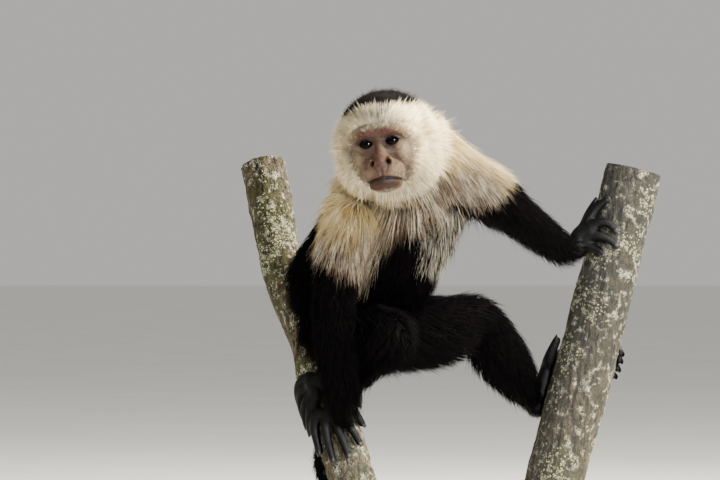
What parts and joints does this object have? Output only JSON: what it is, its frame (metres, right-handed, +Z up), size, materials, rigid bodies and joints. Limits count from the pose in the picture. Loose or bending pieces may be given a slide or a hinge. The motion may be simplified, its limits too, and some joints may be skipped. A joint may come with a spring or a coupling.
{
  "type": "white-faced capuchin monkey",
  "caption": "Life-size still model of a white-faced capuchin monkey stretched between two cut lengths of trunk, gripping both, on a flat base with two short rods.",
  "frame": {"origin": "centre of the stand base's flat underside, at floor level", "axes": "+Z up; the animal faces -Y; +X is its left, towards the perch that its left hand and left foot hold"},
  "size_m": [0.4574, 0.323, 0.5467],
  "materials": {
    "black_fur": "deep black-brown coat with a soft sheen",
    "cream_fur": "cream to white coat of face, throat, chest and shoulders, matt",
    "face_skin": "bare pinkish tan skin, satin",
    "black_skin": "black skin of hands and feet, thinly haired, satin",
    "eye": "dark brown glass eye, glossy",
    "bark": "rough grey-brown bark with lichen and moss",
    "stand_paint": "satin charcoal paint",
    "rod_steel": "brushed steel"
  },
  "bodies": {
    "root": {"ear_left": "face_skin", "ear_right": "face_skin", "eye_left": "eye", "eye_right": "eye", "foot_left": "black_skin", "foot_right": "black_skin", "forearm_left": "black_fur", "forearm_right": "black_fur", "hand_left": "black_skin", "hand_right": "black_skin", "head": "cream_fur", "neck": "cream_fur", "perch_left": "bark", "perch_right": "bark", "shin_left": "black_fur", "shin_right": "black_fur", "stand_base": "stand_paint", "stand_rod_left": "rod_steel", "stand_rod_right": "rod_steel", "tail_1": "black_fur", "tail_2": "black_fur", "tail_3": "black_fur", "tail_4": "black_fur", "thigh_left": "black_fur", "thigh_right": "black_fur", "trunk": "black_fur", "upper_arm_left": "cream_fur", "upper_arm_right": "black_fur"}
  },
  "joints": []
}
